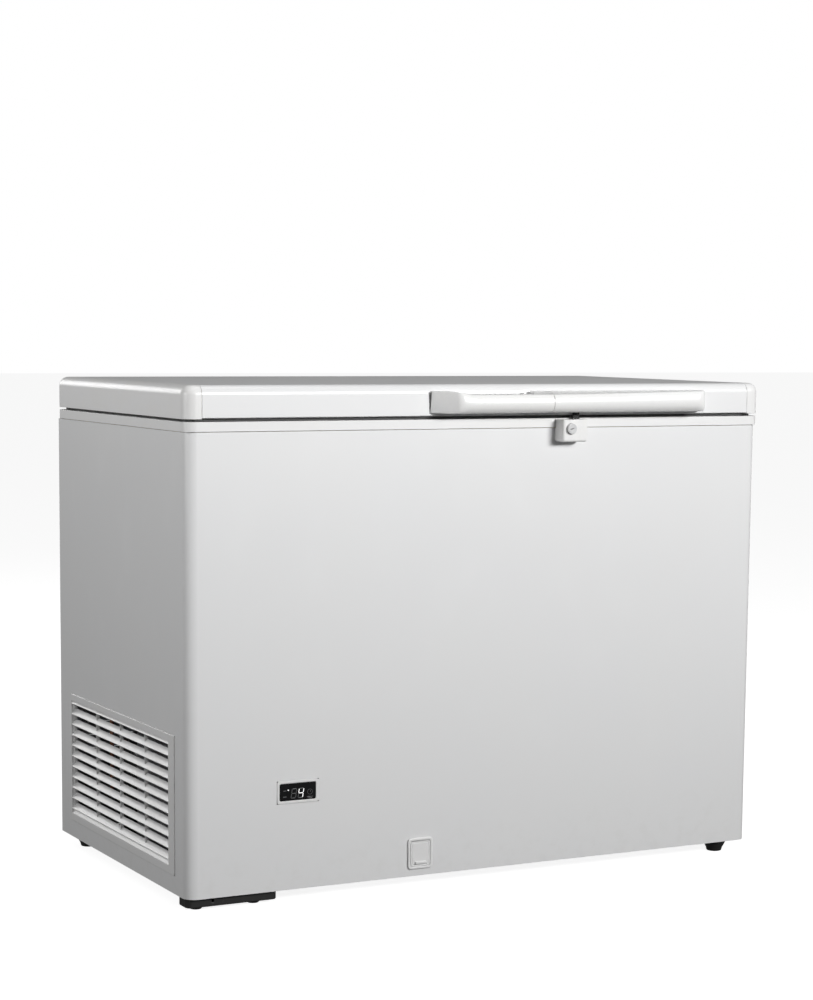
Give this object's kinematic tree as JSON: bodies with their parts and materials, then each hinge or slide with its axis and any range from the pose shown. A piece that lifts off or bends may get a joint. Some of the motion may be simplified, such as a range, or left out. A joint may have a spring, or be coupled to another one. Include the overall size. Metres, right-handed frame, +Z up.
{
  "type": "chest freezer",
  "caption": "White chest freezer with a hinged insulated lid, long front handle with a lifting lever, key lock, side ventilation grille, temperature display and front drain.",
  "frame": {"origin": "on the floor, under the middle of the whole object's box, handle and hinges included", "axes": "+X to the freezer's right as seen from its front, +Y to its back, +Z up; the handle is on the -Y side"},
  "size_m": [1.1, 0.671, 0.846],
  "materials": {
    "white_painted_steel": "white semi-gloss powder coat",
    "white_plastic": "white moulded, satin",
    "galvanised_steel": "galvanised sheet",
    "black_plastic": "black moulded, matt",
    "black_painted_steel": "black enamel",
    "insulation_foam": "rigid polyurethane foam",
    "copper": "drawn copper tube",
    "zinc_steel": "bright zinc plate",
    "gasket_rubber": "dark grey, matt",
    "aluminium_fins": "mill finish",
    "display_lens": "black, polished"
  },
  "bodies": {
    "cabinet": {"outer_cabinet": "white_painted_steel", "inner_liner": "white_painted_steel", "top_frame": "white_plastic", "side_grille": "white_plastic", "display_bezel": "white_plastic", "drain_bezel": "white_plastic", "drain_tube": "white_plastic", "lock_housing": "white_plastic", "rear_panel": "galvanised_steel", "bay_rear_cover": "galvanised_steel", "base_pan": "galvanised_steel", "bay_lining": "galvanised_steel", "power_gland": "black_plastic", "control_box": "black_plastic", "relay_cover": "black_plastic", "fan_shroud": "black_plastic", "foot_front_right": "black_plastic", "foot_rear_left": "black_plastic", "foot_rear_right": "black_plastic", "foot_bar_front_left": "black_plastic", "compressor_deck": "black_painted_steel", "compressor": "black_painted_steel", "insulation_foam": "insulation_foam", "evaporator_coil": "copper", "discharge_pipe": "copper", "liquid_pipe": "copper", "filter_drier": "copper", "temperature_probe": "zinc_steel", "fan_motor": "zinc_steel", "hinge_bracket_left": "zinc_steel", "hinge_bracket_right": "zinc_steel", "hinge_pin_left": "zinc_steel", "hinge_pin_right": "zinc_steel", "hinge_spring_left": "zinc_steel", "hinge_spring_right": "zinc_steel", "compressor_mount_1": "gasket_rubber", "compressor_mount_2": "gasket_rubber", "compressor_mount_3": "gasket_rubber", "compressor_mount_4": "gasket_rubber", "condenser": "aluminium_fins", "display_lens": "display_lens"},
    "lid": {"lid_panel": "white_painted_steel", "lid_cap_left": "white_plastic", "lid_cap_right": "white_plastic", "lid_foam": "insulation_foam", "lid_liner": "white_plastic", "lid_gasket": "gasket_rubber", "hinge_arm_left": "zinc_steel", "hinge_arm_right": "zinc_steel", "handle_base": "white_plastic", "handle_grip": "white_plastic", "lever_pin": "zinc_steel", "lock_keeper": "black_painted_steel"},
    "lever": {"handle_lever": "white_plastic"},
    "lock_barrel": {"lock_cylinder": "zinc_steel", "lock_cam": "zinc_steel"},
    "flap": {"drain_flap": "white_plastic"},
    "plug": {"drain_plug": "white_plastic"},
    "fan": {"fan_rotor": "black_plastic"},
    "basket": {"wire_basket": "white_plastic"}
  },
  "joints": [
    {"name": "lid_hinge", "type": "hinge", "parent": "cabinet", "child": "lid", "pos_m": [0, 0.326, 0.781], "axis": [-1, 0, 0], "range_deg": [0, 85]},
    {"name": "lever_pivot", "type": "hinge", "parent": "lid", "child": "lever", "pos_m": [0, -0.2975, 0.8275], "axis": [-1, 0, 0], "range_deg": [0, 18]},
    {"name": "lock_turn", "type": "hinge", "parent": "cabinet", "child": "lock_barrel", "pos_m": [0.1425, -0.3155, 0.771], "axis": [0, -1, 0], "range_deg": [0, 90]},
    {"name": "drain_flap_hinge", "type": "hinge", "parent": "cabinet", "child": "flap", "pos_m": [-0.125, -0.2894, 0.0796], "axis": [-1, 0, 0], "range_deg": [0, 80]},
    {"name": "drain_plug_lift", "type": "slide", "parent": "cabinet", "child": "plug", "axis": [0, 0, 1], "range_m": [0, 0.05]},
    {"name": "fan_spin", "type": "hinge", "parent": "cabinet", "child": "fan", "pos_m": [-0.4725, -0.1235, 0.15], "axis": [1, 0, 0], "continuous": true},
    {"name": "basket_slide", "type": "slide", "parent": "cabinet", "child": "basket", "axis": [1, 0, 0], "range_m": [0, 0.73]}
  ]
}
